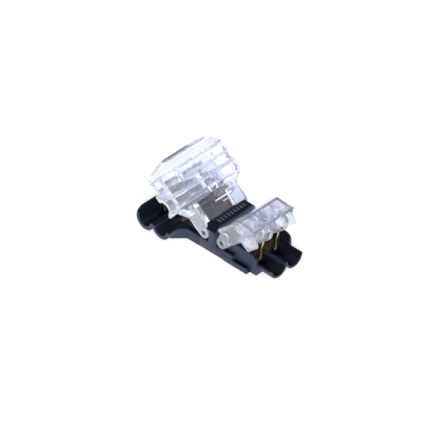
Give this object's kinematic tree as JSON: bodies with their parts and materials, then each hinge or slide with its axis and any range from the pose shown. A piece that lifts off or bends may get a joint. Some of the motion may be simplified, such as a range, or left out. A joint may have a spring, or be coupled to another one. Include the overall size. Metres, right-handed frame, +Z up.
{
  "type": "lever wire connector",
  "caption": "Lever-lid wire tap connector: black T-shaped base, raised bridge, two clear hinged lids and brass contacts that bite through wire insulation.",
  "frame": {"origin": "middle of the base's underside, under the raised bar", "axes": "+X along the stem, towards the branch wires; +Y along the through wires; +Z up, out of the base"},
  "size_m": [0.034, 0.0208, 0.0163],
  "materials": {
    "black_nylon": "satin moulded nylon, blue-black",
    "clear_polycarbonate": "clear moulded polycarbonate, faint cool tint",
    "brass": "stamped brass"
  },
  "bodies": {
    "base": {"base_housing": "black_nylon", "hinge_bridge": "black_nylon", "pole_1_contact": "brass", "pole_2_contact": "brass"},
    "head_cover": {"head_lid": "clear_polycarbonate"},
    "stem_cover": {"stem_lid": "clear_polycarbonate"}
  },
  "joints": [
    {"name": "head_lid_hinge", "type": "hinge", "parent": "base", "child": "head_cover", "pos_m": [-0.00114, 0, 0.00409], "axis": [0, 1, 0], "range_deg": [-39, 0]},
    {"name": "stem_lid_hinge", "type": "hinge", "parent": "base", "child": "stem_cover", "pos_m": [0.0041, 0, 0.00409], "axis": [0, -1, 0], "range_deg": [-42, 0]}
  ]
}
